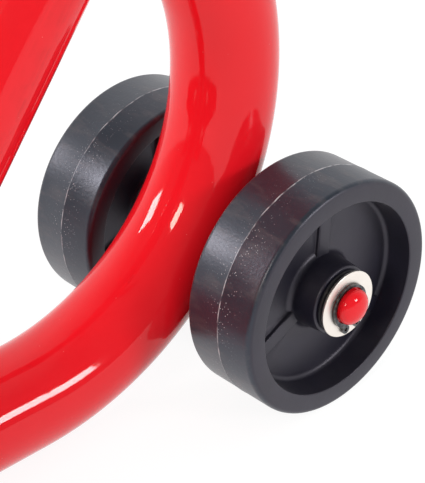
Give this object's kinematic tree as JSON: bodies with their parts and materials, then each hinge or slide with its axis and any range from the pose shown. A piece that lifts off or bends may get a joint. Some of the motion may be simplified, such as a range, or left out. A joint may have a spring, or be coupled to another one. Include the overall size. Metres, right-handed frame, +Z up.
{
  "type": "hand truck",
  "caption": "Single-rail hand truck: leaning mast, bent tube bow and brace, curved load rests, toe plate, swept handlebar, and small wheels close on either side of the rail.",
  "frame": {"origin": "middle of the toe plate's flat underside, on the floor", "axes": "+Z up, +Y back towards the person at the handle, -Y forward towards the load, +X to one side along the axle"},
  "size_m": [0.459, 0.514, 1.1051],
  "materials": {
    "red_paint": "gloss",
    "zinc_plate": "satin",
    "spring_steel": "satin",
    "bush_nylon": "satin",
    "wheel_rubber": "satin",
    "grip_rubber": "matte",
    "cap_plastic": "satin"
  },
  "bodies": {
    "frame": {"mast_tube": "red_paint", "rear_bow": "red_paint", "diagonal_brace": "red_paint", "toe_plate": "red_paint", "mast_foot_plate": "red_paint", "load_rest_lower": "red_paint", "load_rest_upper": "red_paint", "handlebar": "red_paint", "axle_rod": "red_paint", "axle_spacer_left": "red_paint", "axle_spacer_right": "red_paint", "axle_washer_left": "zinc_plate", "axle_washer_right": "zinc_plate", "toe_bolt_1": "zinc_plate", "toe_washer_1": "zinc_plate", "toe_nut_1": "zinc_plate", "toe_bolt_2": "zinc_plate", "toe_washer_2": "zinc_plate", "toe_nut_2": "zinc_plate", "toe_bolt_3": "zinc_plate", "toe_washer_3": "zinc_plate", "toe_nut_3": "zinc_plate", "toe_bolt_4": "zinc_plate", "toe_washer_4": "zinc_plate", "toe_nut_4": "zinc_plate", "rest_bolt_lower_1": "zinc_plate", "rest_washer_lower_1": "zinc_plate", "rest_nut_lower_1": "zinc_plate", "rest_bolt_lower_2": "zinc_plate", "rest_washer_lower_2": "zinc_plate", "rest_nut_lower_2": "zinc_plate", "rest_bolt_upper_1": "zinc_plate", "rest_washer_upper_1": "zinc_plate", "rest_nut_upper_1": "zinc_plate", "rest_bolt_upper_2": "zinc_plate", "rest_washer_upper_2": "zinc_plate", "rest_nut_upper_2": "zinc_plate", "circlip_left": "spring_steel", "circlip_right": "spring_steel", "grip_left": "grip_rubber", "grip_right": "grip_rubber", "mast_cap": "cap_plastic"},
    "wheel_left": {"wheel_left": "wheel_rubber", "bush_left_inner": "bush_nylon", "bush_left_outer": "bush_nylon"},
    "wheel_right": {"wheel_right": "wheel_rubber", "bush_right_inner": "bush_nylon", "bush_right_outer": "bush_nylon"}
  },
  "joints": [
    {"name": "wheel_left_spin", "type": "hinge", "parent": "frame", "child": "wheel_left", "pos_m": [0, 0.36403, 0.05], "axis": [1, 0, 0], "continuous": true},
    {"name": "wheel_right_spin", "type": "hinge", "parent": "frame", "child": "wheel_right", "pos_m": [0, 0.36403, 0.05], "axis": [1, 0, 0], "continuous": true}
  ]
}
